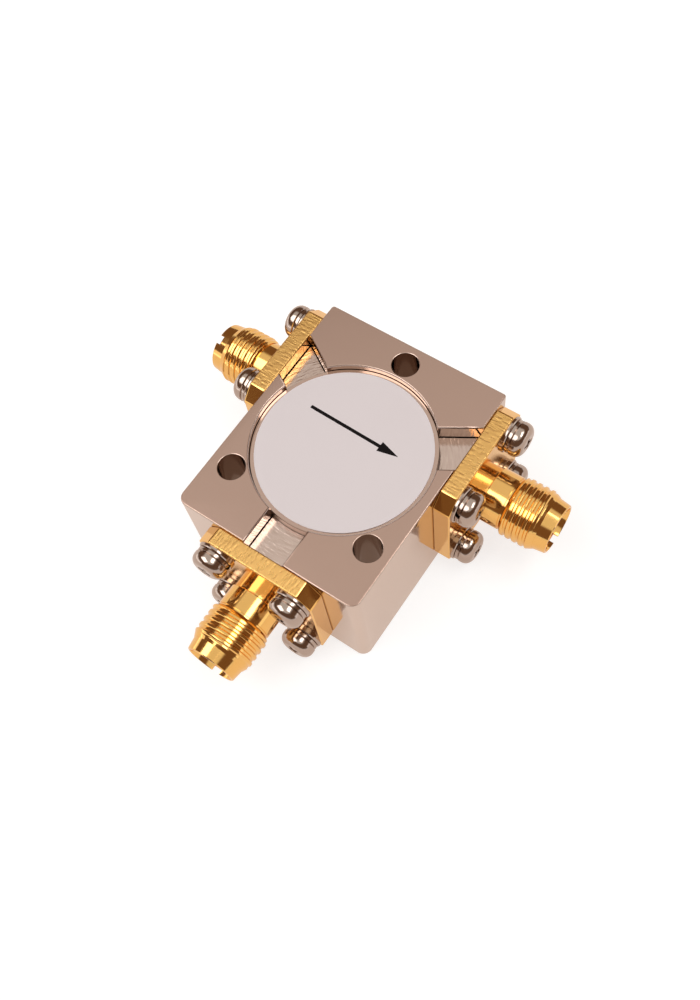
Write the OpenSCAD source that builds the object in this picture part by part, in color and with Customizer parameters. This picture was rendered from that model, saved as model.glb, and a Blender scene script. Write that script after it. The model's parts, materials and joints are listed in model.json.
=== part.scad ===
// Coaxial three-port circulator: a milled housing with a Y-junction inside and three screw-on jacks.
// Origin at the centre of the underside, below the axis of the well. +Z is up, the front jack points to -Y.

/* [Housing] */
// Width across the side ports
body_w = 20; // [19:0.1:24]
// Length from the front face to the back face
body_l = 25.4; // [24.6:0.1:34]
// Height of the block
body_h = 13.7; // [13:0.1:18]
// Radius of the two front corners
front_corner_r = 1; // [0.4:0.1:2]
// Radius of the two back corners
back_corner_r = 0.3; // [0.2:0.1:2]
// Edge break along the outer edges of the block
edge_break = 0.12; // [0.05:0.01:0.13]
// Radius of the round well
well_r = 8.95; // [8.2:0.05:9.25]
// Edge break at the well
well_break = 0.15; // [0.14:0.01:0.16]
// Thickness of the floor under the well
floor_t = 2.35; // [1:0.05:3]

/* [Ports] */
// Height of the port axes above the underside
port_z = 7.2; // [6.8:0.1:7.8]
// Distance of the side ports behind the axis of the well
port_y = 6; // [5:0.1:6.6]

/* [Slots and fillers] */
// Width of the slots that lead from the well to the ports
slot_w = 4.3; // [4:0.1:4.8]
// Edge break along the slots
slot_break = 0.18; // [0.17:0.01:0.22]
// Depth of the fillers' top below the top of the block
slot_drop = 1.8; // [0.8:0.1:2.4]
// Clearance of a filler to the walls of its slot and to the flange
filler_clear = 0.1; // [0.03:0.01:0.15]
// Width of the ledges that carry a filler
ledge_w = 0.6; // [0.3:0.05:0.8]
// Rise of the ledges above the port axes
ledge_rise = 1.7; // [1.2:0.1:2.4]
// Depth of the channel below the port axes
channel_drop = 1.7; // [1.2:0.1:2.4]

/* [Mounting holes] */
// Diameter of the three through holes
hole_d = 2.7; // [2.2:0.05:2.8]
// Wall between a hole and the well
hole_wall = 0.26; // [0.2:0.02:0.5]
// Wall between a front hole and the side of the block
hole_side_wall = 0.965; // [0.6:0.005:1.4]
// Edge break at the holes
hole_break = 0.08; // [0.04:0.01:0.12]

/* [Junction stack] */
// Radial clearance of the round pieces in the well
disc_clear = 0.1; // [0.03:0.01:0.2]
// Thickness of the cover disc
cover_t = 1.2; // [0.8:0.1:1.6]
// Chamfer of the cover disc around the label
cover_break = 0.3; // [0.04:0.01:0.34]
// Depth of the label's face below the top of the block
label_drop = 0.6; // [0.2:0.05:0.8]
// Thickness of the label
label_t = 0.1; // [0.05:0.01:0.2]
// Width of the rim of the cover that shows around the label
label_rim = 0.35; // [0.35:0.05:1]
// Thickness of the pole plates
pole_t = 0.8; // [0.4:0.1:1.2]
// Diameter of the magnets
magnet_d = 16; // [12:0.1:16.2]
// Thickness of the ground plates
ground_t = 0.5; // [0.3:0.05:0.8]
// Diameter of the ferrite discs
ferrite_d = 12.4; // [10:0.1:15]
// Thickness of the ferrite discs and their rings
ferrite_t = 1; // [0.6:0.05:1.3]
// Thickness of the centre conductor
strip_t = 0.3; // [0.1:0.02:0.5]
// Diameter of the round middle of the centre conductor
strip_hub_d = 9; // [6:0.1:11]
// Width of its legs
leg_w = 2; // [1.4:0.1:2.6]
// Gap between the end of a leg and its flange
leg_gap = 0.3; // [0.1:0.05:0.8]

/* [Jacks] */
// Side of the square flange
flange_w = 12.7; // [11.6:0.1:13.4]
// Thickness of the flange
flange_t = 1.8; // [1.2:0.1:2.4]
// Corner chamfer of the flange
flange_chamfer = 1.42; // [0.5:0.02:1.5]
// Diameter of the neck next to the flange
neck_d = 5.2; // [4.8:0.1:5.4]
// Length of the neck
neck_l = 0.9; // [0.4:0.1:1.5]
// Diameter of the smooth barrel
barrel_d = 5.6; // [5.4:0.05:6]
// Length of the smooth barrel
barrel_l = 2.05; // [1:0.05:4]
// Length of the relief groove behind the thread
relief_l = 0.2; // [0.1:0.05:0.6]
// Diameter in the relief groove
relief_d = 5.3; // [5:0.05:5.35]
// Diameter over the thread
thread_d = 6.2; // [6.1:0.01:6.34]
// Depth of the thread
thread_depth = 0.32; // [0.3:0.01:0.4]
// Length of the threaded stretch
thread_l = 3.7; // [2.5:0.1:6]
// Diameter of the pilot where it leaves the thread
pilot_d = 5.46; // [5.2:0.02:5.48]
// Diameter of the pilot at the mouth
mouth_rim_d = 5.14; // [4.9:0.02:5.2]
// Length of the pilot
pilot_l = 1.25; // [0.8:0.05:2]
// Diameter of the mouth
mouth_d = 4.6; // [4.3:0.01:4.7]
// Depth of the mouth, from the rim to the face of the insulator
mouth_depth = 1.9; // [1.2:0.05:2.5]
// Edge break of the barrel and the rim
rim_break = 0.08; // [0.04:0.01:0.12]
// Width of the notch in the rim
notch_w = 0.9; // [0.4:0.1:1.4]
// Depth of the notch
notch_depth = 0.5; // [0.3:0.05:1]
// Turn of the notch of the front, right and left jacks from upright
notch_turn = [180, 180, 343]; // [0:1:360]

/* [Insulators and contacts] */
// Diameter of the bore that holds the insulator
bore_d = 4.1; // [3.8:0.05:4.2]
// Clearance around pieces that are fitted into a seat
seat_clear = 0.02; // [0.01:0.005:0.04]
// Diameter of the centre contact
contact_d = 1.27; // [1.2:0.01:1.4]
// Reach of the contact's flat tail over the leg
tail_l = 1.6; // [1:0.1:2]
// Diameter of the socket in the contact
socket_d = 0.94; // [0.9:0.01:0.98]
// Depth of the socket
socket_depth = 2.6; // [2:0.1:4]
// Width of the slits that part the socket into fingers
slit_w = 0.14; // [0.1:0.02:0.18]
// Length of the slits
slit_l = 1.8; // [1:0.1:2]

/* [Screws and washers] */
// Spacing of the four screws of a flange
screw_pitch = 8.64; // [8.4:0.02:8.8]
// Diameter of the screw thread
screw_d = 2; // [1.6:0.05:2]
// Metal left between a screw and the well or slot beside it
screw_wall = 0.1; // [0.05:0.01:0.2]
// Room beyond the tip of a screw in its tapped hole
tap_room = 0.05; // [0.03:0.01:0.08]
// Clearance around the screws in the flange and the washers
screw_clear = 0.1; // [0.05:0.01:0.2]
// Diameter of the screw heads
head_d = 3.5; // [3:0.05:3.6]
// Height of the screw heads
head_h = 1.25; // [1.1:0.05:1.6]
// Radius of the round shoulder of the heads
head_round = 0.85; // [0.4:0.05:1]
// Length across the cross recess
recess_l = 1.9; // [1.4:0.1:2.2]
// Width of the arms of the recess
recess_w = 0.42; // [0.3:0.02:0.6]
// Depth of the recess
recess_depth = 0.75; // [0.5:0.05:0.9]
// Diameter of the spring washers
spring_d = 3.4; // [3.2:0.05:3.6]
// Thickness of the spring washers
spring_t = 0.45; // [0.3:0.05:0.6]
// Gap in the spring washers
spring_gap = 0.35; // [0.2:0.05:0.6]
// Slant of that gap
spring_slant = 25; // [0:1:35]
// Diameter of the flat washers
washer_d = 3.7; // [3.4:0.05:3.7]
// Thickness of the flat washers
washer_t = 0.3; // [0.2:0.05:0.5]

/* [Hidden] */
$fn = 96;
// Overrun of a cutter past the face that it opens
over = 1;

// Ports: 0 is the front, 1 the right, 2 the left
ports = [0, 1, 2];
front = 0;
right = 1;
left = 2;
port_at = [[0, -body_l / 2, port_z], [body_w / 2, port_y, port_z], [-body_w / 2, port_y, port_z]];
port_turn = [0, 90, -90];
side_angle = atan2(port_y, body_w / 2);
leg_angle = [-90, side_angle, 180 - side_angle];

// Levels, from the underside up
strip_z = port_z - strip_t / 2;
strip_top = port_z + strip_t / 2;
lower_ferrite_z = strip_z - ferrite_t;
lower_ground_z = lower_ferrite_z - ground_t;
lower_magnet_z = floor_t + pole_t;
lower_magnet_t = lower_ground_z - lower_magnet_z;
upper_ground_z = strip_top + ferrite_t;
upper_magnet_z = upper_ground_z + ground_t;
label_z = body_h - label_drop - label_t;
cover_z = label_z - cover_t;
upper_pole_z = cover_z - pole_t;
upper_magnet_t = upper_pole_z - upper_magnet_z;
ledge_z = port_z + ledge_rise;
channel_z = port_z - channel_drop;
filler_top = body_h - slot_drop;

// Radii and reaches in plan
disc_r = well_r - disc_clear;
label_r = disc_r - label_rim;
hole_circle_r = well_r + hole_wall + hole_d / 2;
front_hole_x = body_w / 2 - hole_side_wall - hole_d / 2;
hole_angle = acos(front_hole_x / hole_circle_r);
hole_dirs = [90, -hole_angle, hole_angle - 180];
channel_w = slot_w - 2 * ledge_w;
leg_reach = norm([body_w, body_l]);

// Stations along a jack, from the face of the housing outwards
barrel_z = flange_t + neck_l;
relief_z = barrel_z + barrel_l;
thread_z = relief_z + relief_l;
pilot_z = thread_z + thread_l;
mouth_z = pilot_z + pilot_l;
insulator_l = mouth_z - mouth_depth;
thread_root_d = thread_d - 2 * thread_depth;

// The inner screws of the side flanges set how deep a screw may reach
near_edge_y = max(0, port_y - screw_pitch / 2 - screw_d / 2);
well_grip = body_w / 2 - sqrt(well_r * well_r - near_edge_y * near_edge_y) - screw_wall;
slot_side = slot_w / 2 / cos(side_angle);
slot_grip = (screw_pitch / 2 - screw_d / 2 - slot_side - screw_wall) / tan(side_angle);
screw_grip = min(well_grip, slot_grip);
head_z = flange_t + washer_t + spring_t;
screw_l = head_z + screw_grip;

nickel = [0.72, 0.62, 0.56];
nickel_bright = [0.86, 0.8, 0.77];
label_white = [0.88, 0.85, 0.84];
steel = [0.62, 0.58, 0.56];
magnet_grey = [0.33, 0.33, 0.35];
ferrite_black = [0.16, 0.15, 0.15];
ceramic_white = [0.9, 0.88, 0.82];
copper = [0.8, 0.5, 0.32];
gold = [0.87, 0.64, 0.28];
ptfe_white = [0.95, 0.94, 0.92];
stainless = [0.6, 0.55, 0.53];

// Puts its children at a port: +Z points out of the housing, +Y points up
module at_port(i) {
  translate(port_at[i])
    rotate([90, 0, port_turn[i]])
      children();
}

// Puts its children at each of the four screws of each flange
module at_screws() {
  for (i = ports)
    at_port(i)
      for (x = [-1, 1], y = [-1, 1])
        translate([x, y, 0] * screw_pitch / 2)
          children();
}

// A bar along a leg, from the axis of the well outwards, with its section given as [across, up] points
module along_leg(i, section) {
  rotate([0, 0, leg_angle[i]])
    rotate([90, 0, 90])
      linear_extrude(leg_reach)
        polygon(section);
}

// A rectangular section from one level to another
function bar(w, low, high) = [[-w / 2, low], [w / 2, low], [w / 2, high], [-w / 2, high]];

// A section that is broken open at the top edge
function mouth_bar(w, low, high, widen) = [
  [-w / 2, low], [w / 2, low], [w / 2, high - widen],
  [w / 2 + widen + over, high + over], [-w / 2 - widen - over, high + over], [-w / 2, high - widen]
];

// Half a section of the block, from the axis of a corner to its outer face
function edge_section(r) = [
  [0, 0], [r - edge_break, 0], [r, edge_break],
  [r, body_h - edge_break], [r - edge_break, body_h], [0, body_h]
];

// A strip of the block's edge between two corners of one radius
module edge_strip(r, turn) {
  rotate([0, 0, turn])
    translate([-(body_w / 2 - r), body_l / 2 - r, 0])
      rotate([90, 0, 90])
        linear_extrude(body_w - 2 * r)
          polygon(edge_section(r));
}

// The two rounded corners at one end of the block
module corners(r, turn) {
  rotate([0, 0, turn])
    for (side = [-1, 1])
      translate([side * (body_w / 2 - r), body_l / 2 - r, 0])
        rotate_extrude()
          polygon(edge_section(r));
}

// The middle of the block, between the front corners and the back corners
module block_middle() {
  w = body_w / 2;
  translate([0, body_l / 2 - back_corner_r, 0])
    rotate([90, 0, 0])
      linear_extrude(body_l - front_corner_r - back_corner_r)
        polygon([
          [edge_break - w, 0], [w - edge_break, 0], [w, edge_break], [w, body_h - edge_break],
          [w - edge_break, body_h], [edge_break - w, body_h], [-w, body_h - edge_break], [-w, edge_break]
        ]);
}

module block() {
  block_middle();
  edge_strip(back_corner_r, 0);
  corners(back_corner_r, 0);
  edge_strip(front_corner_r, 180);
  corners(front_corner_r, 180);
}

// A cone that breaks the edge of a round hole at the top of the block
module round_mouth(r, widen) {
  translate([0, 0, body_h - widen])
    cylinder(r1 = r, r2 = r + widen + over, h = widen + over);
}

module housing() {
  color(nickel)
    difference() {
      block();
      translate([0, 0, floor_t])
        cylinder(r = well_r, h = body_h);
      round_mouth(well_r, well_break);
      for (i = ports) {
        along_leg(i, mouth_bar(slot_w, ledge_z, body_h, slot_break));
        along_leg(i, bar(channel_w, channel_z, body_h));
      }
      for (a = hole_dirs)
        translate(hole_circle_r * [cos(a), sin(a), 0]) {
          translate([0, 0, -over])
            cylinder(d = hole_d, h = body_h + 2 * over);
          round_mouth(hole_d / 2, hole_break);
        }
      at_screws()
        translate([0, 0, -screw_grip - tap_room])
          cylinder(d = screw_d + 2 * seat_clear, h = body_w / 2);
    }
}

// A round piece of the stack, with a hole if hole_d is given
module disc(z, d, h, hole_d = 0) {
  translate([0, 0, z])
    difference() {
      cylinder(d = d, h = h);
      if (hole_d > 0)
        translate([0, 0, -over])
          cylinder(d = hole_d, h = h + 2 * over);
    }
}

module label() {
  color(label_white)
    disc(label_z, 2 * label_r, label_t);
}

module cover_disc() {
  color(nickel_bright)
    translate([0, 0, cover_z]) {
      cylinder(r = disc_r, h = cover_t - cover_break);
      translate([0, 0, cover_t - cover_break])
        cylinder(r1 = disc_r, r2 = disc_r - cover_break, h = cover_break);
    }
}

module upper_pole_plate() {
  color(steel)
    disc(upper_pole_z, 2 * disc_r, pole_t);
}

module upper_magnet() {
  color(magnet_grey)
    disc(upper_magnet_z, magnet_d, upper_magnet_t);
}

module upper_ground_plate() {
  color(nickel_bright)
    disc(upper_ground_z, 2 * disc_r, ground_t);
}

module upper_ferrite() {
  color(ferrite_black)
    disc(strip_top, ferrite_d, ferrite_t);
}

module upper_dielectric_ring() {
  color(ceramic_white)
    disc(strip_top, 2 * disc_r, ferrite_t, ferrite_d + 2 * seat_clear);
}

// The Y-shaped strip: a round middle and a leg to each port
module centre_conductor() {
  color(copper)
    intersection() {
      union() {
        disc(strip_z, strip_hub_d, strip_t);
        for (i = ports)
          along_leg(i, bar(leg_w, strip_z, strip_top));
      }
      translate([leg_gap - body_w / 2, leg_gap - body_l / 2, 0])
        cube([body_w - 2 * leg_gap, body_l - 2 * leg_gap, body_h]);
    }
}

module lower_ferrite() {
  color(ferrite_black)
    disc(lower_ferrite_z, ferrite_d, ferrite_t);
}

module lower_dielectric_ring() {
  color(ceramic_white)
    disc(lower_ferrite_z, 2 * disc_r, ferrite_t, ferrite_d + 2 * seat_clear);
}

module lower_ground_plate() {
  color(nickel_bright)
    disc(lower_ground_z, 2 * disc_r, ground_t);
}

module lower_magnet() {
  color(magnet_grey)
    disc(lower_magnet_z, magnet_d, lower_magnet_t);
}

module lower_pole_plate() {
  color(steel)
    disc(floor_t, 2 * disc_r, pole_t);
}

// A block that sits on the ledges of a slot, hollowed at its inner end by the well
module slot_filler(i) {
  color(nickel_bright)
    difference() {
      intersection() {
        along_leg(i, bar(slot_w - 2 * filler_clear, ledge_z, filler_top));
        translate([filler_clear - body_w / 2, filler_clear - body_l / 2, 0])
          cube([body_w - 2 * filler_clear, body_l - 2 * filler_clear, body_h]);
      }
      cylinder(r = well_r, h = body_h);
    }
}

module front_slot_filler() {
  slot_filler(front);
}

module right_slot_filler() {
  slot_filler(right);
}

module left_slot_filler() {
  slot_filler(left);
}

// The square flange with its corners cut
module flange() {
  h = flange_w / 2;
  c = h - flange_chamfer;
  linear_extrude(flange_t)
    polygon([[h, -c], [h, c], [c, h], [-c, h], [-h, c], [-h, -c], [-c, -h], [c, -h]]);
}

// The turned barrel, from the flange to the mouth
module barrel() {
  rotate_extrude()
    polygon([
      [0, 0], [neck_d / 2, 0], [neck_d / 2, barrel_z],
      [barrel_d / 2 - rim_break, barrel_z], [barrel_d / 2, barrel_z + rim_break], [barrel_d / 2, relief_z],
      [relief_d / 2, relief_z], [relief_d / 2, thread_z], [thread_root_d / 2, thread_z],
      [thread_d / 2, thread_z + thread_depth], [thread_d / 2, pilot_z - thread_depth],
      [thread_root_d / 2, pilot_z], [pilot_d / 2, pilot_z], [mouth_rim_d / 2, mouth_z - rim_break],
      [mouth_rim_d / 2 - rim_break, mouth_z], [0, mouth_z]
    ]);
}

module connector_shell(i) {
  color(gold)
    at_port(i)
      difference() {
        union() {
          flange();
          barrel();
        }
        translate([0, 0, -over])
          cylinder(d = bore_d, h = mouth_z + 2 * over);
        translate([0, 0, insulator_l])
          cylinder(d = mouth_d, h = mouth_depth + over);
        rotate([0, 0, notch_turn[i]])
          translate([-notch_w / 2, 0, mouth_z - notch_depth])
            cube([notch_w, mouth_rim_d, notch_depth + over]);
        for (x = [-1, 1], y = [-1, 1])
          translate([x * screw_pitch / 2, y * screw_pitch / 2, -over])
            cylinder(d = screw_d + 2 * screw_clear, h = flange_t + 2 * over);
      }
}

module front_connector_shell() {
  connector_shell(front);
}

module right_connector_shell() {
  connector_shell(right);
}

module left_connector_shell() {
  connector_shell(left);
}

module insulator(i) {
  color(ptfe_white)
    at_port(i)
      difference() {
        cylinder(d = bore_d - 2 * seat_clear, h = insulator_l);
        translate([0, 0, -over])
          cylinder(d = contact_d + 2 * seat_clear, h = insulator_l + 2 * over);
      }
}

module front_insulator() {
  insulator(front);
}

module right_insulator() {
  insulator(right);
}

module left_insulator() {
  insulator(left);
}

// A contact: a slit socket at the mouth, and a tail that is cut flat where it lies on the leg
module contact(i) {
  color(gold)
    at_port(i)
      difference() {
        translate([0, 0, -tail_l])
          cylinder(d = contact_d, h = insulator_l + tail_l);
        translate([-contact_d, strip_t / 2 - 2 * contact_d, -tail_l - over])
          cube([2 * contact_d, 2 * contact_d, tail_l + over]);
        translate([0, 0, insulator_l - socket_depth])
          cylinder(d = socket_d, h = socket_depth + over);
        for (a = [0, 90])
          rotate([0, 0, a])
            translate([-slit_w / 2, -contact_d, insulator_l - slit_l])
              cube([slit_w, 2 * contact_d, slit_l + over]);
      }
}

module front_contact() {
  contact(front);
}

module right_contact() {
  contact(right);
}

module left_contact() {
  contact(left);
}

// The cross recess, which narrows to its floor
module recess() {
  intersection() {
    cylinder(d1 = recess_w, d2 = recess_l, h = recess_depth);
    for (a = [0, 90])
      rotate([0, 0, a])
        translate([-recess_l / 2, -recess_w / 2, 0])
          cube([recess_l, recess_w, recess_depth]);
  }
}

// Half the section of a pan head
module head_section() {
  crown = head_d / 2 - head_round;
  side = head_h - head_round;
  square([head_d / 2, side]);
  square([crown, head_h]);
  translate([crown, side])
    intersection() {
      circle(r = head_round);
      square(head_round);
    }
}

module screw() {
  translate([0, 0, -screw_grip])
    cylinder(d = screw_d, h = screw_l);
  translate([0, 0, head_z])
    difference() {
      rotate_extrude()
        head_section();
      translate([0, 0, head_h - recess_depth])
        recess();
    }
}

module flange_screws() {
  color(stainless)
    at_screws()
      screw();
}

// A split ring
module spring_washer() {
  translate([0, 0, flange_t + washer_t])
    difference() {
      cylinder(d = spring_d, h = spring_t);
      translate([0, 0, -over])
        cylinder(d = screw_d + 2 * screw_clear, h = spring_t + 2 * over);
      translate([spring_d / 4, 0, spring_t / 2])
        rotate([spring_slant, 0, 0])
          cube([spring_d / 2, spring_gap, spring_t + 2 * over], center = true);
    }
}

module spring_washers() {
  color(stainless)
    at_screws()
      spring_washer();
}

module flat_washers() {
  color(stainless)
    at_screws()
      disc(flange_t, washer_d, washer_t, screw_d + 2 * screw_clear);
}

housing();
label();
cover_disc();
upper_pole_plate();
upper_magnet();
upper_ground_plate();
upper_ferrite();
upper_dielectric_ring();
centre_conductor();
lower_ferrite();
lower_dielectric_ring();
lower_ground_plate();
lower_magnet();
lower_pole_plate();
front_slot_filler();
right_slot_filler();
left_slot_filler();
front_connector_shell();
right_connector_shell();
left_connector_shell();
front_insulator();
right_insulator();
left_insulator();
front_contact();
right_contact();
left_contact();
flange_screws();
spring_washers();
flat_washers();
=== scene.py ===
import json
import math

import bmesh
import bpy
from mathutils import Matrix, Vector


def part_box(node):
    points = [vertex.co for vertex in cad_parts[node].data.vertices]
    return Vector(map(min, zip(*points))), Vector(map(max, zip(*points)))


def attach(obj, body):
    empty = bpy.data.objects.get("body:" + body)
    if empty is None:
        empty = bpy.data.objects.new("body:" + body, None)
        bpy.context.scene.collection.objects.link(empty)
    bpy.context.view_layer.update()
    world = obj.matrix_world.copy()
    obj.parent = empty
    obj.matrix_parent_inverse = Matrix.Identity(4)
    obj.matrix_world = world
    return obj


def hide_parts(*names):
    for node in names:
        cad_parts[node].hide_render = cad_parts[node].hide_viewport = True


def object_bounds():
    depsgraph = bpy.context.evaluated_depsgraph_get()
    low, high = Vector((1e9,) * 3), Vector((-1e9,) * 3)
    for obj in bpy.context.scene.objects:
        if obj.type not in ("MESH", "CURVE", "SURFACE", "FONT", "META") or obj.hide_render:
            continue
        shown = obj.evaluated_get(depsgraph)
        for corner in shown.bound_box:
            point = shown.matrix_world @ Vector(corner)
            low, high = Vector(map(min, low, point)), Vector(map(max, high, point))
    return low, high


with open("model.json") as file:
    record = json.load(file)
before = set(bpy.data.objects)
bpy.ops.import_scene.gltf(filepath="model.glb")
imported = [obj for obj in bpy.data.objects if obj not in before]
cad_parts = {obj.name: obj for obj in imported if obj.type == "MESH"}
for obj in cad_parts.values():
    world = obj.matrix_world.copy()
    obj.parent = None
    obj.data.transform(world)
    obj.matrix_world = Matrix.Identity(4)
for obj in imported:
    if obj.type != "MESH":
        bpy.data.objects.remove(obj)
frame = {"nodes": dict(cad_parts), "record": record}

cad_low, cad_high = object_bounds()
MM = 0.001
mounts = {m["name"]: m for m in frame["record"]["mounts"]}
housing_low, housing_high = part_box("housing")
label_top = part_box("label")[1].z
shell_low, shell_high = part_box("front_connector_shell")
jacks = ("front", "right", "left")

# Stations of a jack, from the face of the housing outwards
flange_t = 1.8 * MM
neck_end = 2.7 * MM
barrel_end = 4.75 * MM
thread_start = 4.95 * MM
thread_end = 8.65 * MM
mouth_end = shell_high.y - shell_low.y
insulator_end = mouth_end - mounts["front_mouth"]["dims"]["length_mm"] * MM

# Widths and radii of a jack
flange_w = shell_high.x - shell_low.x
flange_cut = 1.42 * MM
flange_edge = 0.15 * MM
neck_r = 2.6 * MM
barrel_r = 2.8 * MM
thread_crest_r = mounts["front_thread"]["dims"]["r_mm"] * MM
thread_depth = 0.32 * MM
thread_groove = 0.15 * MM
thread_pitch = 25.4 * MM / 36
# Slope of the thread's end at the mouth, and the shares of a pitch that its root and crest take
thread_lead = 0.5
thread_root_flat = 0.3
thread_crest_flat = 0.35
relief_r = 2.65 * MM
pilot_r = 2.73 * MM
rim_r = 2.57 * MM
rim_edge = 0.08 * MM
mouth_r = mounts["front_mouth"]["dims"]["r_mm"] * MM
bore_r = 2.05 * MM
notch_w = 0.9 * MM
notch_depth = 0.5 * MM
notch_turn = {"front": 180, "right": 180, "left": 343}

# Screws and washers
screw_pitch = 8.64 * MM
screw_places = [(x * screw_pitch / 2, y * screw_pitch / 2) for x in (-1, 1) for y in (-1, 1)]
screw_r = 1.0 * MM
screw_clear = 0.1 * MM
screw_hole_r = screw_r + screw_clear
washer_r = 1.85 * MM
washer_t = 0.3 * MM
spring_r = 1.7 * MM
spring_t = 0.45 * MM
spring_gap = 0.35 * MM
spring_slant = math.radians(25)
head_r = 1.75 * MM
head_h = 1.25 * MM
head_round = 0.85 * MM
fastener_edge = 0.09 * MM
recess_l = 1.9 * MM
recess_w = 0.42 * MM
recess_depth = 0.75 * MM
# Shares of the recess's length and width that are left at its floor
recess_floor_l = 0.4
recess_floor_w = 0.75
screw_grip = 0.97 * MM
head_seat = washer_t + spring_t
shank_l = head_seat + flange_t + screw_grip

# The arrow printed on the label
arrow_tail = Vector((-5.35, 2.25, 0)) * MM
arrow_tip = Vector((4.75, 2.03, 0)) * MM
arrow_line = 0.34 * MM
arrow_head_w = 1.1 * MM
arrow_head_l = 2.1 * MM
print_t = 0.01 * MM

# Sides of round shapes, steps round a screw head's edge and rows to a turn of the thread
sides = 144
hole_sides = 48
fastener_sides = 64
head_steps = 16
thread_rows = 20

# Points nearer than this are one, and faces within this angle in degrees are one face
weld = 0.0002 * MM
flat_angle = 0.2

# Edges up to these angles in degrees are shaded as if rounded
housing_soft_angle = 50
shell_soft_angle = 35

# Grain of the finishes
fine_grain = 0.12 * MM
film_grain = 0.1 * MM


# Meshes

def mesh_object(name, bm):
    """A piece from a bmesh."""
    mesh = bpy.data.meshes.new(name)
    bm.to_mesh(mesh)
    bm.free()
    piece = bpy.data.objects.new(name, mesh)
    bpy.context.scene.collection.objects.link(piece)
    return piece


def bake(piece):
    """Turns a piece and its modifiers into one plain mesh."""
    graph = bpy.context.evaluated_depsgraph_get()
    mesh = bpy.data.meshes.new_from_object(
        piece.evaluated_get(graph), preserve_all_data_layers=True, depsgraph=graph
    )
    piece.modifiers.clear()
    piece.data = mesh
    return piece


def combine(piece, tool, operation):
    """Adds a tool to a piece or cuts it out, and takes the tool away."""
    boolean = piece.modifiers.new("combine", "BOOLEAN")
    boolean.operation = operation
    boolean.solver = "EXACT"
    boolean.object = tool
    bake(piece)
    bpy.data.objects.remove(tool)
    return piece


def turned(name, profile, gap=None, around=sides):
    """A closed solid turned from (radius, height) points, given from the bottom up.

    The wall between the points gap and gap + 1 is left open."""
    bm = bmesh.new()
    angles = [2 * math.pi * i / around for i in range(around)]
    rings = []
    for r, z in profile:
        rings.append([bm.verts.new((r * math.cos(a), r * math.sin(a), z)) for a in angles])
    for k, (low, high) in enumerate(zip(rings, rings[1:])):
        if k != gap:
            for i in range(around):
                j = (i + 1) % around
                bm.faces.new((low[i], low[j], high[j], high[i]))
    bm.faces.new(reversed(rings[0]))
    bm.faces.new(rings[-1])
    return mesh_object(name, bm)


def raised(outline, height):
    """A bmesh of a flat outline, raised to a height."""
    bm = bmesh.new()
    base = bm.faces.new([bm.verts.new(point) for point in outline])
    grown = bmesh.ops.extrude_face_region(bm, geom=[base])["geom"]
    lid = [v for v in grown if isinstance(v, bmesh.types.BMVert)]
    bmesh.ops.translate(bm, vec=(0, 0, height), verts=lid)
    bmesh.ops.recalc_face_normals(bm, faces=bm.faces)
    return bm


def block(name, size, centre):
    """A box, for cutting."""
    bm = bmesh.new()
    bmesh.ops.create_cube(bm, size=1)
    bm.transform(Matrix.Translation(centre) @ Matrix.Diagonal((*size, 1)))
    return mesh_object(name, bm)


def copy_of(piece, name, matrix):
    """A moved copy of a piece."""
    twin = bpy.data.objects.new(name, piece.data.copy())
    twin.data.transform(matrix)
    bpy.context.scene.collection.objects.link(twin)
    return twin


def arc(centre_r, centre_z, radius, start, end, steps):
    """Points (radius, height) along an arc, with its angles in degrees."""
    angles = [math.radians(start + (end - start) * i / steps) for i in range(steps + 1)]
    return [(centre_r + radius * math.cos(a), centre_z + radius * math.sin(a)) for a in angles]


def smooth(piece, angle=30):
    """Shades a piece smooth, apart from edges sharper than an angle in degrees."""
    piece.data.shade_smooth()
    piece.data.set_sharp_from_angle(angle=math.radians(angle))


def soften(piece, angle):
    """Shades a piece as if its edges up to an angle in degrees were rounded, and its flat faces flat."""
    smooth(piece, angle)
    weighted = piece.modifiers.new("weighted", "WEIGHTED_NORMAL")
    weighted.mode = "FACE_AREA"
    weighted.weight = 100
    weighted.keep_sharp = True
    return bake(piece)


def clean_copy(node):
    """A copy of a solid with its points joined and its flat faces whole."""
    bm = bmesh.new()
    bm.from_mesh(frame["nodes"][node].data)
    bmesh.ops.remove_doubles(bm, verts=bm.verts, dist=weld)
    bmesh.ops.dissolve_limit(bm, angle_limit=math.radians(flat_angle), verts=bm.verts, edges=bm.edges)
    return mesh_object("soft_edged_" + node, bm)


def finish_piece(piece, finish, slot, *nodes):
    """Gives a piece its finish and its place on the part."""
    piece.data.materials.clear()
    piece.data.materials.append(finish)
    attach(piece, "root")
    if nodes:
        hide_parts(*nodes)


def port_frame(name):
    """Turns a jack's own frame, with +Z out of the housing and +Y up, into the model's frame."""
    thread = mounts[name + "_thread"]
    out = Vector(thread["axis"])
    up = Vector((0, 0, 1))
    face = max(out.dot(housing_low), out.dot(housing_high))
    place = Vector(thread["pos_m"])
    base = place + out * (face - out.dot(place))
    return Matrix.Translation(base) @ Matrix((up.cross(out), up, out)).transposed().to_4x4()


# Node trees

def put(tree, kind, values=(), **settings):
    """Adds a node. values holds numbers, or outputs of other nodes, by the input's name or number."""
    node = tree.nodes.new(kind)
    for key, value in settings.items():
        setattr(node, key, value)
    for key, value in dict(values).items():
        if isinstance(value, bpy.types.NodeSocket):
            tree.links.new(value, node.inputs[key])
        else:
            node.inputs[key].default_value = value
    return node


def maths(tree, operation, *values, clamp=False):
    """The result of a math node."""
    node = put(tree, "ShaderNodeMath", enumerate(values), operation=operation, use_clamp=clamp)
    return node.outputs[0]


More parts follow.
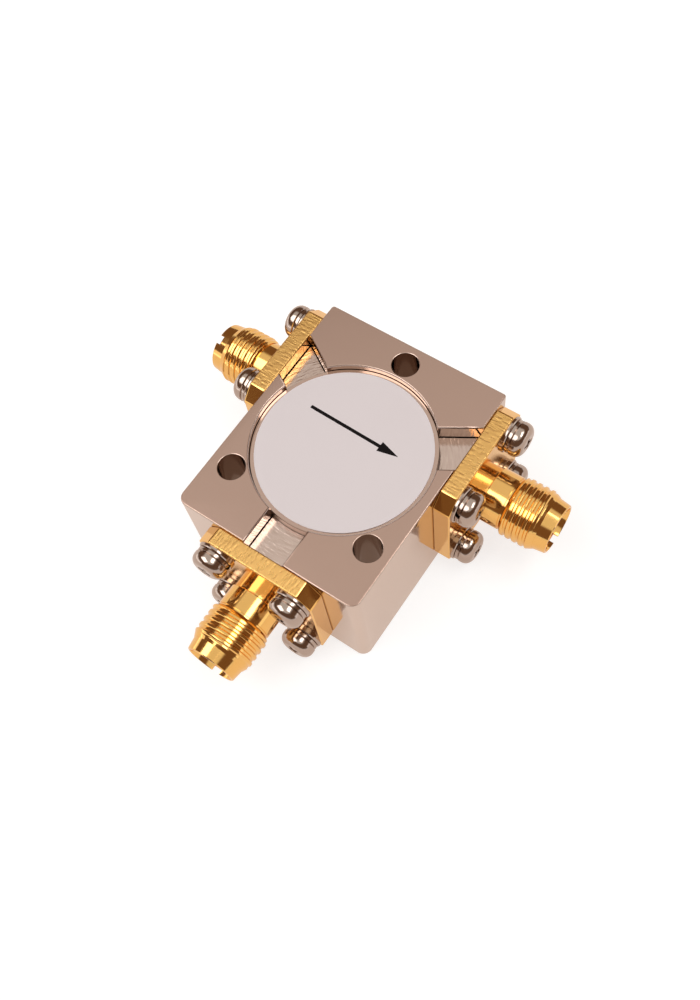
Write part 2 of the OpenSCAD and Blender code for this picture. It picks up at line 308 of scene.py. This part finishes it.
def geometry_tree(name, inputs):
    """A geometry tree with named inputs, given as (name, kind), and the node that holds them."""
    tree = bpy.data.node_groups.new(name, "GeometryNodeTree")
    for label, kind in (("Geometry", "Geometry"), *inputs):
        tree.interface.new_socket(name=label, in_out="INPUT", socket_type="NodeSocket" + kind)
    tree.interface.new_socket(name="Geometry", in_out="OUTPUT", socket_type="NodeSocketGeometry")
    return tree, tree.nodes.new("NodeGroupInput").outputs


def close_tree(tree, geometry, given):
    """Ends a geometry tree with plain geometry in its material."""
    whole = put(tree, "GeometryNodeRealizeInstances", {0: geometry}).outputs[0]
    painted = put(tree, "GeometryNodeSetMaterial", {"Geometry": whole, "Material": given["Material"]})
    put(tree, "NodeGroupOutput", {"Geometry": painted.outputs[0]})


def run_tree(piece, tree, **values):
    """Runs a geometry tree on a piece, with its inputs set by name, and keeps the plain mesh."""
    modifier = piece.modifiers.new(tree.name, "NODES")
    modifier.node_group = tree
    for item in tree.interface.items_tree:
        key = item.name.lower().replace(" ", "_")
        if item.in_out == "INPUT" and key in values:
            modifier[item.identifier] = values[key]
    return bake(piece)


def helical_thread_tree():
    """Closes a turned piece's open stretch with a helical thread, chamfered at both ends."""
    tree, given = geometry_tree("helical_thread", (
        ("Root radius", "Float"), ("Depth", "Float"), ("Groove", "Float"), ("Pitch", "Float"),
        ("Start", "Float"), ("Length", "Float"), ("Lead", "Float"), ("Root flat", "Float"),
        ("Crest flat", "Float"), ("Sides", "Int"), ("Rows per turn", "Int"), ("Material", "Material"),
    ))
    turns = maths(tree, "CEIL", maths(tree, "DIVIDE", given["Length"], given["Pitch"]))
    turns = maths(tree, "ADD", turns, 2)
    rows = maths(tree, "MULTIPLY", turns, given["Rows per turn"])
    sheet = put(tree, "GeometryNodeMeshGrid", {
        "Size X": 1, "Size Y": turns,
        "Vertices X": maths(tree, "ADD", given["Sides"], 1), "Vertices Y": maths(tree, "ADD", rows, 1),
    })
    place = put(tree, "ShaderNodeSeparateXYZ", {0: put(tree, "GeometryNodeInputPosition").outputs[0]}).outputs
    around = maths(tree, "ADD", place["X"], 0.5)
    row = maths(tree, "ADD", place["Y"], maths(tree, "MULTIPLY", turns, 0.5))
    # Each row of the sheet climbs one pitch in a turn
    climb = maths(tree, "SUBTRACT", maths(tree, "ADD", row, around), 1)
    climb = maths(tree, "MULTIPLY", climb, given["Pitch"])
    height = maths(tree, "MINIMUM", maths(tree, "MAXIMUM", climb, 0), given["Length"])
    # The flanks rise from a flat root to a flat crest
    wave = maths(tree, "MULTIPLY", maths(tree, "PINGPONG", row, 0.5), 2)
    rise = maths(tree, "SUBTRACT", wave, given["Root flat"])
    run = maths(tree, "SUBTRACT", maths(tree, "SUBTRACT", 1, given["Root flat"]), given["Crest flat"])
    flank = maths(tree, "DIVIDE", rise, run, clamp=True)
    lead = maths(tree, "MULTIPLY", maths(tree, "SUBTRACT", given["Length"], height), given["Lead"])
    ends = maths(tree, "MINIMUM", height, lead)
    cut = maths(tree, "MULTIPLY", maths(tree, "SUBTRACT", 1, flank), given["Groove"])
    lift = maths(tree, "MINIMUM", maths(tree, "SUBTRACT", given["Depth"], cut), ends)
    radius = maths(tree, "ADD", lift, given["Root radius"])
    turn = maths(tree, "MULTIPLY", around, 2 * math.pi)
    point = put(tree, "ShaderNodeCombineXYZ", {
        "X": maths(tree, "MULTIPLY", radius, maths(tree, "COSINE", turn)),
        "Y": maths(tree, "MULTIPLY", radius, maths(tree, "SINE", turn)),
        "Z": maths(tree, "ADD", height, given["Start"]),
    })
    thread = put(tree, "GeometryNodeSetPosition", {
        "Geometry": sheet.outputs[0], "Position": point.outputs[0],
    })
    join = put(tree, "GeometryNodeJoinGeometry", {0: thread.outputs[0]})
    tree.links.new(given["Geometry"], join.inputs[0])
    whole = put(tree, "GeometryNodeMergeByDistance", {"Geometry": join.outputs[0], "Distance": weld})
    close_tree(tree, whole.outputs[0], given)
    return tree


def fastener_tree():
    """Puts one fastener on each seat, along the seat's normal and turned at random about it."""
    tree, given = geometry_tree("fasteners", (
        ("Fastener", "Object"), ("Lift", "Float"), ("Seed", "Int"), ("Material", "Material"),
    ))
    out = put(tree, "GeometryNodeInputNamedAttribute", {"Name": "out"}, data_type="FLOAT_VECTOR").outputs[0]
    upright = put(tree, "FunctionNodeAlignRotationToVector", {"Vector": out}, axis="Z").outputs[0]
    spin = put(tree, "FunctionNodeRandomValue", {"Seed": given["Seed"]}, data_type="FLOAT")
    spin.inputs[3].default_value = 2 * math.pi
    about = put(tree, "ShaderNodeCombineXYZ", {"Z": spin.outputs[1]}).outputs[0]
    turn = put(tree, "FunctionNodeRotateRotation", {
        "Rotation": upright, "Rotate By": about,
    }, rotation_space="LOCAL")
    lifted = put(tree, "ShaderNodeVectorMath", {0: out, "Scale": given["Lift"]}, operation="SCALE").outputs[0]
    seats = put(tree, "GeometryNodeSetPosition", {"Geometry": given["Geometry"], "Offset": lifted}).outputs[0]
    points = put(tree, "GeometryNodeMeshToPoints", {"Mesh": seats}).outputs[0]
    shape = put(tree, "GeometryNodeObjectInfo", {"Object": given["Fastener"]}).outputs["Geometry"]
    placed = put(tree, "GeometryNodeInstanceOnPoints", {
        "Points": points, "Instance": shape, "Rotation": turn.outputs[0],
    })
    close_tree(tree, placed.outputs[0], given)
    return tree


# Finishes

def new_finish(name, colour, metallic, roughness):
    """A material with its shader set to even values."""
    finish = bpy.data.materials.new(name)
    finish.use_nodes = True
    tree = finish.node_tree
    shader = tree.nodes["Principled BSDF"]
    shader.inputs["Base Color"].default_value = (*colour, 1)
    shader.inputs["Metallic"].default_value = metallic
    shader.inputs["Roughness"].default_value = roughness
    return finish, tree, shader


def object_place(tree):
    """A point's place on the piece, in metres."""
    return put(tree, "ShaderNodeTexCoord").outputs["Object"]


def noise(tree, place, size, detail=3, stretch=(1, 1, 1)):
    """Noise with features of about a size in metres, drawn out by a stretch along each axis."""
    scaled = put(tree, "ShaderNodeVectorMath", {0: place, 1: [1 / s for s in stretch]}, operation="MULTIPLY")
    made = put(tree, "ShaderNodeTexNoise", {"Vector": scaled.outputs[0], "Scale": 1 / size, "Detail": detail})
    return made.outputs["Fac"]


def spread(tree, value, low, high):
    """Maps the usual span of a noise to a span of values."""
    node = put(tree, "ShaderNodeMapRange", {
        "Value": value, "From Min": 0.3, "From Max": 0.7, "To Min": low, "To Max": high,
    })
    return node.outputs[0]


def rising(tree, value, start, end):
    """0 at a start and 1 at an end, with a smooth rise between them."""
    node = put(tree, "ShaderNodeMapRange", {
        "Value": value, "From Min": start, "From Max": end,
    }, interpolation_type="SMOOTHSTEP")
    return node.outputs[0]


def between(tree, value, first, second):
    """A number between two numbers."""
    return put(tree, "ShaderNodeMix", {0: value, 2: first, 3: second}, data_type="FLOAT").outputs[0]


def tint(tree, value, first, second):
    """A colour between two colours, each given as red, green and blue or as a node's output."""
    ends = [c if isinstance(c, bpy.types.NodeSocket) else (*c, 1) for c in (first, second)]
    return put(tree, "ShaderNodeMix", {0: value, 6: ends[0], 7: ends[1]}, data_type="RGBA").outputs[2]


def levelness(tree):
    """1 on level faces, and next to 0 on upright ones."""
    face = put(tree, "ShaderNodeNewGeometry").outputs["Normal"]
    rise = put(tree, "ShaderNodeSeparateXYZ", {0: face}).outputs["Z"]
    return maths(tree, "POWER", maths(tree, "ABSOLUTE", rise), 4)


def coat(tree, shader, colour, rough):
    """Gives a shader its colour and roughness from other nodes."""
    tree.links.new(colour, shader.inputs["Base Color"])
    tree.links.new(rough, shader.inputs["Roughness"])


def bump(tree, shader, height, depth):
    """Raises a shader's surface by a height map of a depth in metres."""
    node = put(tree, "ShaderNodeBump", {"Height": height, "Distance": depth, "Strength": 1})
    tree.links.new(node.outputs[0], shader.inputs["Normal"])


def grained(name, first, second, metallic, rough, grain, depth):
    """A finish whose colour, roughness and surface vary with a fine grain."""
    finish, tree, shader = new_finish(name, first, metallic, rough[0])
    place = object_place(tree)
    cloud = noise(tree, place, 20 * grain)
    fine = noise(tree, place, grain)
    coat(tree, shader, tint(tree, cloud, first, second), spread(tree, fine, *rough))
    bump(tree, shader, fine, depth)
    return finish


def satin_nickel():
    """The block: satin on its flat top, smoother on its ground sides. The top's colour is painted darker and
    warmer than the sides' as painted shade and a painted warm reflection.
    """
    finish, tree, shader = new_finish("satin_nickel", (0.65, 0.535, 0.465), 1, 0.25)
    place = object_place(tree)
    fine = noise(tree, place, fine_grain)
    cloud = noise(tree, place, 4 * MM)
    flat = levelness(tree)
    ground = tint(tree, cloud, (0.64, 0.525, 0.455), (0.66, 0.545, 0.475))
    # The top's colour is painted shade and a painted warm reflection, darker and more coppery than the sides'
    satin_with_painted_shade = tint(tree, cloud, (0.518, 0.36, 0.293), (0.537, 0.375, 0.307))
    rough = between(tree, flat, spread(tree, fine, 0.07, 0.1), spread(tree, fine, 0.19, 0.23))
    coat(tree, shader, tint(tree, flat, ground, satin_with_painted_shade), rough)
    bump(tree, shader, fine, 0.0012 * MM)
    return finish


def milled_nickel():
    """Slot floors: fine broken cutter marks round the well's axis."""
    finish, tree, shader = new_finish("milled_nickel", (0.6, 0.46, 0.39), 1, 0.2)
    place = object_place(tree)
    axes = put(tree, "ShaderNodeSeparateXYZ", {0: place}).outputs
    across = put(tree, "ShaderNodeCombineXYZ", {"X": axes["X"], "Y": axes["Y"]}).outputs[0]
    radius = put(tree, "ShaderNodeVectorMath", {0: across}, operation="LENGTH").outputs["Value"]
    turn = maths(tree, "MULTIPLY", maths(tree, "ARCTAN2", axes["Y"], axes["X"]), housing_high.x)
    unrolled = put(tree, "ShaderNodeCombineXYZ", {"X": radius, "Y": turn}).outputs[0]
    marks = noise(tree, unrolled, 0.24 * MM, 2, (1, 6, 1))
    fine = noise(tree, place, film_grain)
    colour = tint(tree, marks, (0.54, 0.41, 0.345), (0.74, 0.6, 0.53))
    coat(tree, shader, colour, spread(tree, fine, 0.15, 0.22))
    bump(tree, shader, marks, 0.035 * MM)
    return finish


def turned_rim():
    """The cover: a polished rim and a rougher wall, painted dark as shade in the gap round the cover."""
    finish, tree, shader = new_finish("turned_rim", (0.57, 0.415, 0.345), 1, 0.09)
    fine = noise(tree, object_place(tree), fine_grain)
    flat = levelness(tree)
    rim = tint(tree, fine, (0.54, 0.39, 0.32), (0.6, 0.44, 0.37))
    # The cover's wall is painted dark: painted shade in the gap between the cover and the well
    painted_shade_side = tint(tree, fine, (0.2, 0.13, 0.1), (0.26, 0.18, 0.14))
    rough = between(tree, flat, spread(tree, fine, 0.37, 0.41), spread(tree, fine, 0.07, 0.11))
    coat(tree, shader, tint(tree, flat, painted_shade_side, rim), rough)
    return finish


def turned_gold():
    """A jack: turned and polished, with cross-cut marks on the flange's edges."""
    finish, tree, shader = new_finish("turned_gold", (0.91, 0.54, 0.17), 1, 0.12)
    jack = put(tree, "ShaderNodeAttribute", attribute_name="jack").outputs["Vector"]
    milled = put(tree, "ShaderNodeAttribute", attribute_name="milled").outputs["Fac"]
    along = put(tree, "ShaderNodeSeparateXYZ", {0: jack}).outputs["Z"]
    turning = put(
        tree, "ShaderNodeTexNoise", {"W": along, "Scale": 1 / (0.06 * MM)}, noise_dimensions="1D"
    ).outputs["Fac"]
    cuts = noise(tree, jack, 0.2 * MM, 4, (1, 1, 4))
    cloud = noise(tree, jack, 2 * MM)
    polished = tint(tree, cloud, (0.93, 0.57, 0.185), (0.88, 0.51, 0.155))
    sawn = tint(tree, cloud, (0.92, 0.57, 0.2), (0.88, 0.52, 0.17))
    rough = between(tree, milled, spread(tree, turning, 0.08, 0.15), spread(tree, cuts, 0.2, 0.38))
    coat(tree, shader, tint(tree, milled, polished, sawn), rough)
    # The cuts stand far higher than the marks of turning
    fine = maths(tree, "MULTIPLY", turning, 0.03)
    rows = maths(tree, "MULTIPLY", maths(tree, "MULTIPLY", cuts, milled), 2)
    bump(tree, shader, maths(tree, "ADD", fine, rows), 0.03 * MM)
    return finish


def label_film():
    """The label: pale film with a faint cloud."""
    finish, tree, shader = new_finish("label_film", (0.765, 0.72, 0.745), 0, 0.38)
    place = object_place(tree)
    cloud = noise(tree, place, 5 * MM)
    fine = noise(tree, place, film_grain)
    colour = tint(tree, cloud, (0.755, 0.71, 0.735), (0.775, 0.73, 0.755))
    coat(tree, shader, colour, spread(tree, fine, 0.34, 0.42))
    bump(tree, shader, fine, 0.001 * MM)
    return finish


finishes = {"nickel_plate": satin_nickel(), "milled_nickel": milled_nickel(), "label_film": label_film()}
# Slot, two colours, metallic and the span of its roughness
plain_finishes = (
    ("pole_steel", (0.5, 0.47, 0.45), (0.56, 0.53, 0.5), 1, (0.25, 0.4)),
    ("magnet", (0.1, 0.1, 0.11), (0.14, 0.14, 0.15), 0.6, (0.4, 0.6)),
    ("ferrite", (0.02, 0.02, 0.02), (0.03, 0.028, 0.028), 0, (0.3, 0.45)),
    ("dielectric", (0.78, 0.74, 0.65), (0.82, 0.79, 0.71), 0, (0.35, 0.5)),
    ("copper_strip", (0.62, 0.26, 0.12), (0.7, 0.32, 0.16), 1, (0.2, 0.32)),
    ("gold_plate", (0.88, 0.51, 0.155), (0.93, 0.57, 0.185), 1, (0.12, 0.2)),
    ("ptfe", (0.82, 0.81, 0.78), (0.87, 0.86, 0.84), 0, (0.4, 0.5)),
    ("stainless", (0.45, 0.36, 0.31), (0.51, 0.42, 0.36), 1, (0.1, 0.18)),
)
for slot, first, second, metallic, rough in plain_finishes:
    finishes[slot] = grained(slot, first, second, metallic, rough, fine_grain, 0.0015 * MM)
ink = grained(
    "label_ink", (0.005, 0.004, 0.004), (0.008, 0.006, 0.007), 0, (0.5, 0.6), film_grain, 0.001 * MM
)
ink.node_tree.nodes["Principled BSDF"].inputs["Specular IOR Level"].default_value = 0.1
jack_gold = turned_gold()
for part in frame["record"]["subparts"]:
    solid = frame["nodes"][part["node"]].data
    solid.materials.clear()
    solid.materials.append(finishes[part["material_slot"]])


# Block and cover

def rimmed_cover():
    """The cover, with a flat rim that shows around the label."""
    low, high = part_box("cover_disc")
    edge = 0.03 * MM
    snug = 0.06 * MM
    radius = high.x + snug
    return turned("rimmed_cover", [(radius, low.z), (radius, high.z - edge), (radius - edge, high.z)])


housing = soften(clean_copy("housing"), housing_soft_angle)
finish_piece(housing, finishes["nickel_plate"], "nickel_plate", "housing")
cover = rimmed_cover()
smooth(cover)
finish_piece(cover, turned_rim(), "milled_nickel", "cover_disc")


# Connector shells

def barrel_blank():
    """The outside of a jack's barrel, from inside the flange to the mouth, with its thread."""
    root_r = thread_crest_r - thread_depth
    profile = [
        (neck_r, flange_t / 2), (neck_r, neck_end), (barrel_r - rim_edge, neck_end),
        (barrel_r, neck_end + rim_edge), (barrel_r, barrel_end), (relief_r, barrel_end),
        (relief_r, thread_start), (root_r, thread_start), (root_r, thread_end), (pilot_r, thread_end),
        (rim_r, mouth_end - rim_edge), (rim_r - rim_edge, mouth_end),
    ]
    blank = turned("barrel_blank", profile, gap=profile.index((root_r, thread_start)))
    return run_tree(
        blank, helical_thread_tree(), root_radius=root_r, depth=thread_depth, groove=thread_groove,
        pitch=thread_pitch, start=thread_start, length=thread_end - thread_start,
        lead=thread_lead, root_flat=thread_root_flat, crest_flat=thread_crest_flat, sides=sides,
        rows_per_turn=thread_rows, material=jack_gold,
    )


def flange_blank():
    """The square flange with its corners cut and its edges broken."""
    half = flange_w / 2
    short = half - flange_cut
    outline = [(half, -short), (half, short), (short, half), (-short, half)]
    outline += [(-x, -y) for x, y in outline]
    bm = raised([Vector((x, y, 0)) for x, y in outline], flange_t)
    bmesh.ops.bevel(
        bm, geom=bm.edges, offset=flange_edge, segments=3, profile=0.5, affect="EDGES", clamp_overlap=True
    )
    return mesh_object("flange_blank", bm)


def jack_cutter(turn):
    """What is cut out of a jack: its bore, mouth and screw holes, and the notch in its rim."""
    past = 1 * MM
    bore = turned("bore_cutter", [
        (bore_r, -past), (bore_r, insulator_end), (mouth_r, insulator_end), (mouth_r, mouth_end - rim_edge),
        (mouth_r + rim_edge / 2, mouth_end), (mouth_r + rim_edge / 2, mouth_end + past),
    ])
    notch = block(
        "notch_cutter", (notch_w, thread_crest_r, notch_depth + past),
        (0, thread_crest_r / 2, mouth_end + (past - notch_depth) / 2),
    )
    notch.data.transform(Matrix.Rotation(math.radians(turn), 4, "Z"))
    combine(bore, notch, "UNION")
    for x, y in screw_places:
        profile = [(screw_hole_r, -past), (screw_hole_r, flange_t + past)]
        hole = turned("hole_cutter", profile, around=hole_sides)
        hole.data.transform(Matrix.Translation((x, y, 0)))
        combine(bore, hole, "UNION")
    return bore


def mark_jack(mesh):
    """Keeps each point's place in the jack's own frame, and marks the flange's top and bottom edges."""
    places = mesh.attributes.new("jack", "FLOAT_VECTOR", "POINT")
    places.data.foreach_set("vector", [c for v in mesh.vertices for c in v.co])
    milled = mesh.attributes.new("milled", "FLOAT", "FACE")
    reach = flange_w / 2 - flange_cut
    facing = 0.95
    for face in mesh.polygons:
        outer = max(abs(face.center.x), abs(face.center.y)) > reach
        milled.data[face.index].value = outer and abs(face.normal.y) > facing


barrel = barrel_blank()
flange = flange_blank()
for jack in jacks:
    shell = copy_of(flange, jack + "_threaded_shell", Matrix())
    spun = copy_of(barrel, "spun_barrel", Matrix.Rotation(math.radians(notch_turn[jack]), 4, "Z"))
    combine(shell, spun, "UNION")
    combine(shell, jack_cutter(notch_turn[jack]), "DIFFERENCE")
    mark_jack(shell.data)
    shell.data.transform(port_frame(jack))
    soften(shell, shell_soft_angle)
    finish_piece(shell, jack_gold, "gold_plate", jack + "_connector_shell")
for spare in (barrel, flange):
    bpy.data.objects.remove(spare)


# Screws and washers

def recess_cutter():
    """A cross that narrows towards its floor."""
    arm = block("recess_cutter", (recess_l, recess_w, 2 * recess_depth), (0, 0, head_h))
    for v in arm.data.vertices:
        if v.co.z < head_h:
            v.co.x *= recess_floor_l
            v.co.y *= recess_floor_w
    return combine(arm, copy_of(arm, "recess_arm", Matrix.Rotation(math.radians(90), 4, "Z")), "UNION")


def pan_screw():
    """A pan-head screw with a cross recess, its head's seat at the origin."""
    profile = [(screw_r, -shank_l), (screw_r, 0), (head_r - fastener_edge, 0), (head_r, fastener_edge)]
    profile += arc(head_r - head_round, head_h - head_round, head_round, 0, 90, head_steps)
    screw = turned("pan_screw", profile, around=fastener_sides)
    return combine(screw, recess_cutter(), "DIFFERENCE")


def split_ring():
    """A spring washer with a slanted gap, its seat at the origin."""
    bm = bmesh.new()
    inner = screw_hole_r
    outer = spring_r - fastener_edge
    section = [
        (inner, 0), (outer, 0), (spring_r, fastener_edge), (spring_r, spring_t - fastener_edge),
        (outer, spring_t), (inner, spring_t),
    ]
    middle = (inner + spring_r) / 2
    ease = spring_gap / 2 / middle
    loops = []
    for i in range(fastener_sides + 1):
        loop = []
        for r, z in section:
            lean = (z - spring_t / 2) * math.tan(spring_slant) / middle
            angle = ease + lean + (2 * math.pi - 2 * ease) * i / fastener_sides
            loop.append(bm.verts.new((r * math.cos(angle), r * math.sin(angle), z)))
        loops.append(loop)
    count = len(section)
    for first, second in zip(loops, loops[1:]):
        for k in range(count):
            n = (k + 1) % count
            bm.faces.new((first[k], second[k], second[n], first[n]))
    bm.faces.new(loops[0])
    bm.faces.new(reversed(loops[-1]))
    bmesh.ops.recalc_face_normals(bm, faces=bm.faces)
    return mesh_object("split_ring", bm)


def flat_ring():
    """A flat washer with its rim broken, its seat at the origin."""
    ring = turned("flat_ring", [
        (washer_r, 0), (washer_r, washer_t - fastener_edge), (washer_r - fastener_edge, washer_t),
    ], around=fastener_sides)
    profile = [(screw_hole_r, -washer_t), (screw_hole_r, 2 * washer_t)]
    hole = turned("washer_hole", profile, around=fastener_sides)
    return combine(ring, hole, "DIFFERENCE")


def screw_seats(name):
    """A point on each flange face where a screw goes in, with the way that the screw points out."""
    bm = bmesh.new()
    outs = []
    for jack in jacks:
        matrix = port_frame(jack)
        for x, y in screw_places:
            bm.verts.new(matrix @ Vector((x, y, flange_t)))
            outs.extend(matrix.col[2].to_3d())
    seats = mesh_object(name, bm)
    seats.data.attributes.new("out", "FLOAT_VECTOR", "POINT").data.foreach_set("vector", outs)
    return seats


fasteners = fastener_tree()
# Name, shape, lift from the flange, seed of its turn and the solid that it stands for
fastener_rows = (
    ("cross_recess_screws", pan_screw, head_seat, 3, "flange_screws"),
    ("split_washers", split_ring, washer_t, 5, "spring_washers"),
    ("plain_washers", flat_ring, 0, 0, "flat_washers"),
)
for name, make, lift, seed, solid in fastener_rows:
    pattern = make()
    row = run_tree(
        screw_seats(name), fasteners, fastener=pattern, lift=lift, seed=seed, material=finishes["stainless"]
    )
    bpy.data.objects.remove(pattern)
    smooth(row)
    finish_piece(row, finishes["stainless"], "stainless", solid)


# The arrow on the label

def circulation_arrow():
    """A straight arrow, printed on the label."""
    way = (arrow_tip - arrow_tail).normalized()
    across = Vector((-way.y, way.x, 0))
    neck = arrow_tip - way * arrow_head_l
    bottom = Vector((0, 0, label_top))
    half = across * arrow_line / 2
    wing = across * arrow_head_w / 2
    outline = [arrow_tail - half, neck - half, neck - wing, arrow_tip]
    outline += [neck + wing, neck + half, arrow_tail + half]
    return mesh_object("circulation_arrow", raised([p + bottom for p in outline], print_t))


arrow = circulation_arrow()
arrow.data.materials.append(ink)
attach(arrow, "root")


# Floor, light and camera

def lit_floor():
    """A white floor that keeps the object's shadow."""
    reach = 3
    seen_colour = (0.75, 0.75, 0.75)
    mirrored_colour = (0.585, 0.49, 0.435)
    lit_colour = (0.4, 0.4, 0.4, 1)
    bm = bmesh.new()
    bmesh.ops.create_grid(bm, x_segments=1, y_segments=1, size=reach)
    bmesh.ops.translate(bm, vec=(0, 0, cad_low.z), verts=bm.verts)
    floor = mesh_object("floor", bm)
    paint = bpy.data.materials.new("white_floor")
    paint.use_nodes = True
    tree = paint.node_tree
    tree.nodes.clear()
    path = put(tree, "ShaderNodeLightPath").outputs
    seen = maths(tree, "MAXIMUM", path["Is Camera Ray"], path["Is Transmission Ray"])
    colour = tint(tree, seen, mirrored_colour, seen_colour)
    # Little glow under the block, so its holes stay dark
    under = 0.5
    inset = 0.8 * MM
    place = put(tree, "ShaderNodeSeparateXYZ", {0: object_place(tree)}).outputs
    beside = maths(tree, "SUBTRACT", maths(tree, "ABSOLUTE", place["X"]), housing_high.x - inset)
    before = maths(tree, "SUBTRACT", maths(tree, "ABSOLUTE", place["Y"]), housing_high.y - inset)
    open_floor = maths(tree, "GREATER_THAN", maths(tree, "MAXIMUM", beside, before), 0)
    shade = maths(tree, "MULTIPLY_ADD", open_floor, 1 - under, under)
    strength = maths(tree, "MULTIPLY", maths(tree, "MAXIMUM", seen, path["Is Glossy Ray"]), shade)
    matt = put(tree, "ShaderNodeBsdfDiffuse", {"Color": lit_colour}).outputs[0]
    glow = put(tree, "ShaderNodeEmission", {"Color": colour, "Strength": strength}).outputs[0]
    both = put(tree, "ShaderNodeAddShader", {0: matt, 1: glow}).outputs[0]
    put(tree, "ShaderNodeOutputMaterial", {"Surface": both})
    floor.data.materials.append(paint)


def studio():
    """White at the horizon, a dim warm room above it and a bright ceiling."""
    dim = (0.18, 0.1, 0.06)
    bright = (0.82, 0.78, 0.73)
    white = (1, 1, 1)
    horizon = (0.1, 0.04)
    ceiling = (0.7, 0.82)
    world = bpy.data.worlds.new("studio")
    bpy.context.scene.world = world
    world.use_nodes = True
    tree = world.node_tree
    direction = put(tree, "ShaderNodeTexCoord").outputs["Generated"]
    height = put(tree, "ShaderNodeSeparateXYZ", {0: direction}).outputs["Z"]
    room = tint(tree, rising(tree, height, *ceiling), dim, bright)
    colour = tint(tree, rising(tree, height, *horizon), room, white)
    tree.links.new(colour, tree.nodes["Background"].inputs["Color"])


def softbox(name, azimuth, elevation, width, height, radiance):
    """A soft lamp in a direction, with its width and height as angles in degrees."""
    a, e = math.radians(azimuth), math.radians(elevation)
    direction = Vector((math.sin(a) * math.cos(e), -math.cos(a) * math.cos(e), math.sin(e)))
    distance = 0.4
    lamp = bpy.data.lights.new(name, "AREA")
    lamp.shape = "RECTANGLE"
    lamp.size = 2 * distance * math.tan(math.radians(width) / 2)
    lamp.size_y = 2 * distance * math.tan(math.radians(height) / 2)
    lamp.energy = radiance * math.pi * lamp.size * lamp.size_y
    holder = bpy.data.objects.new(name, lamp)
    holder.location = Vector((0, 0, housing_high.z / 2)) + direction * distance
    holder.rotation_mode = "QUATERNION"
    holder.rotation_quaternion = direction.to_track_quat("Z", "Y")
    bpy.context.scene.collection.objects.link(holder)


def photo_camera():
    """The camera at the photograph's place."""
    azimuth, elevation, roll = (math.radians(v) for v in (44.7047, 63.8966, 11.324))
    long_side = 1000
    focal = 1045.28
    beside, below, distance = -0.63751 * MM, -4.95089 * MM, 97.148 * MM
    back = Vector((
        math.sin(azimuth) * math.cos(elevation), -math.cos(azimuth) * math.cos(elevation), math.sin(elevation)
    ))
    level = (-back).cross(Vector((0, 0, 1))).normalized()
    fall = (-back).cross(level)
    right = level * math.cos(roll) + fall * math.sin(roll)
    down = fall * math.cos(roll) - level * math.sin(roll)
    lens = bpy.data.cameras.new("photo_camera")
    lens.sensor_width = 36
    lens.lens = focal * lens.sensor_width / long_side
    lens.clip_start = 1 * MM
    lens.clip_end = 100
    camera = bpy.data.objects.new("photo_camera", lens)
    top = Vector((0, 0, housing_high.z))
    place = top - right * beside - down * below + back * distance
    camera.matrix_world = Matrix.Translation(place) @ Matrix((right, -down, back)).transposed().to_4x4()
    bpy.context.scene.collection.objects.link(camera)
    bpy.context.scene.camera = camera


lit_floor()
studio()
# Name, azimuth, elevation, width and height in degrees, and radiance
softbox("right_softbox", 114, 66, 32, 18, 3.6)
softbox("left_softbox", -44, 58, 44, 30, 2.6)
softbox("left_card", -58, 7, 66, 18, 1)
softbox("right_card", 115, 9, 52, 10, 1)
photo_camera()
bpy.context.scene.view_settings.view_transform = "Standard"
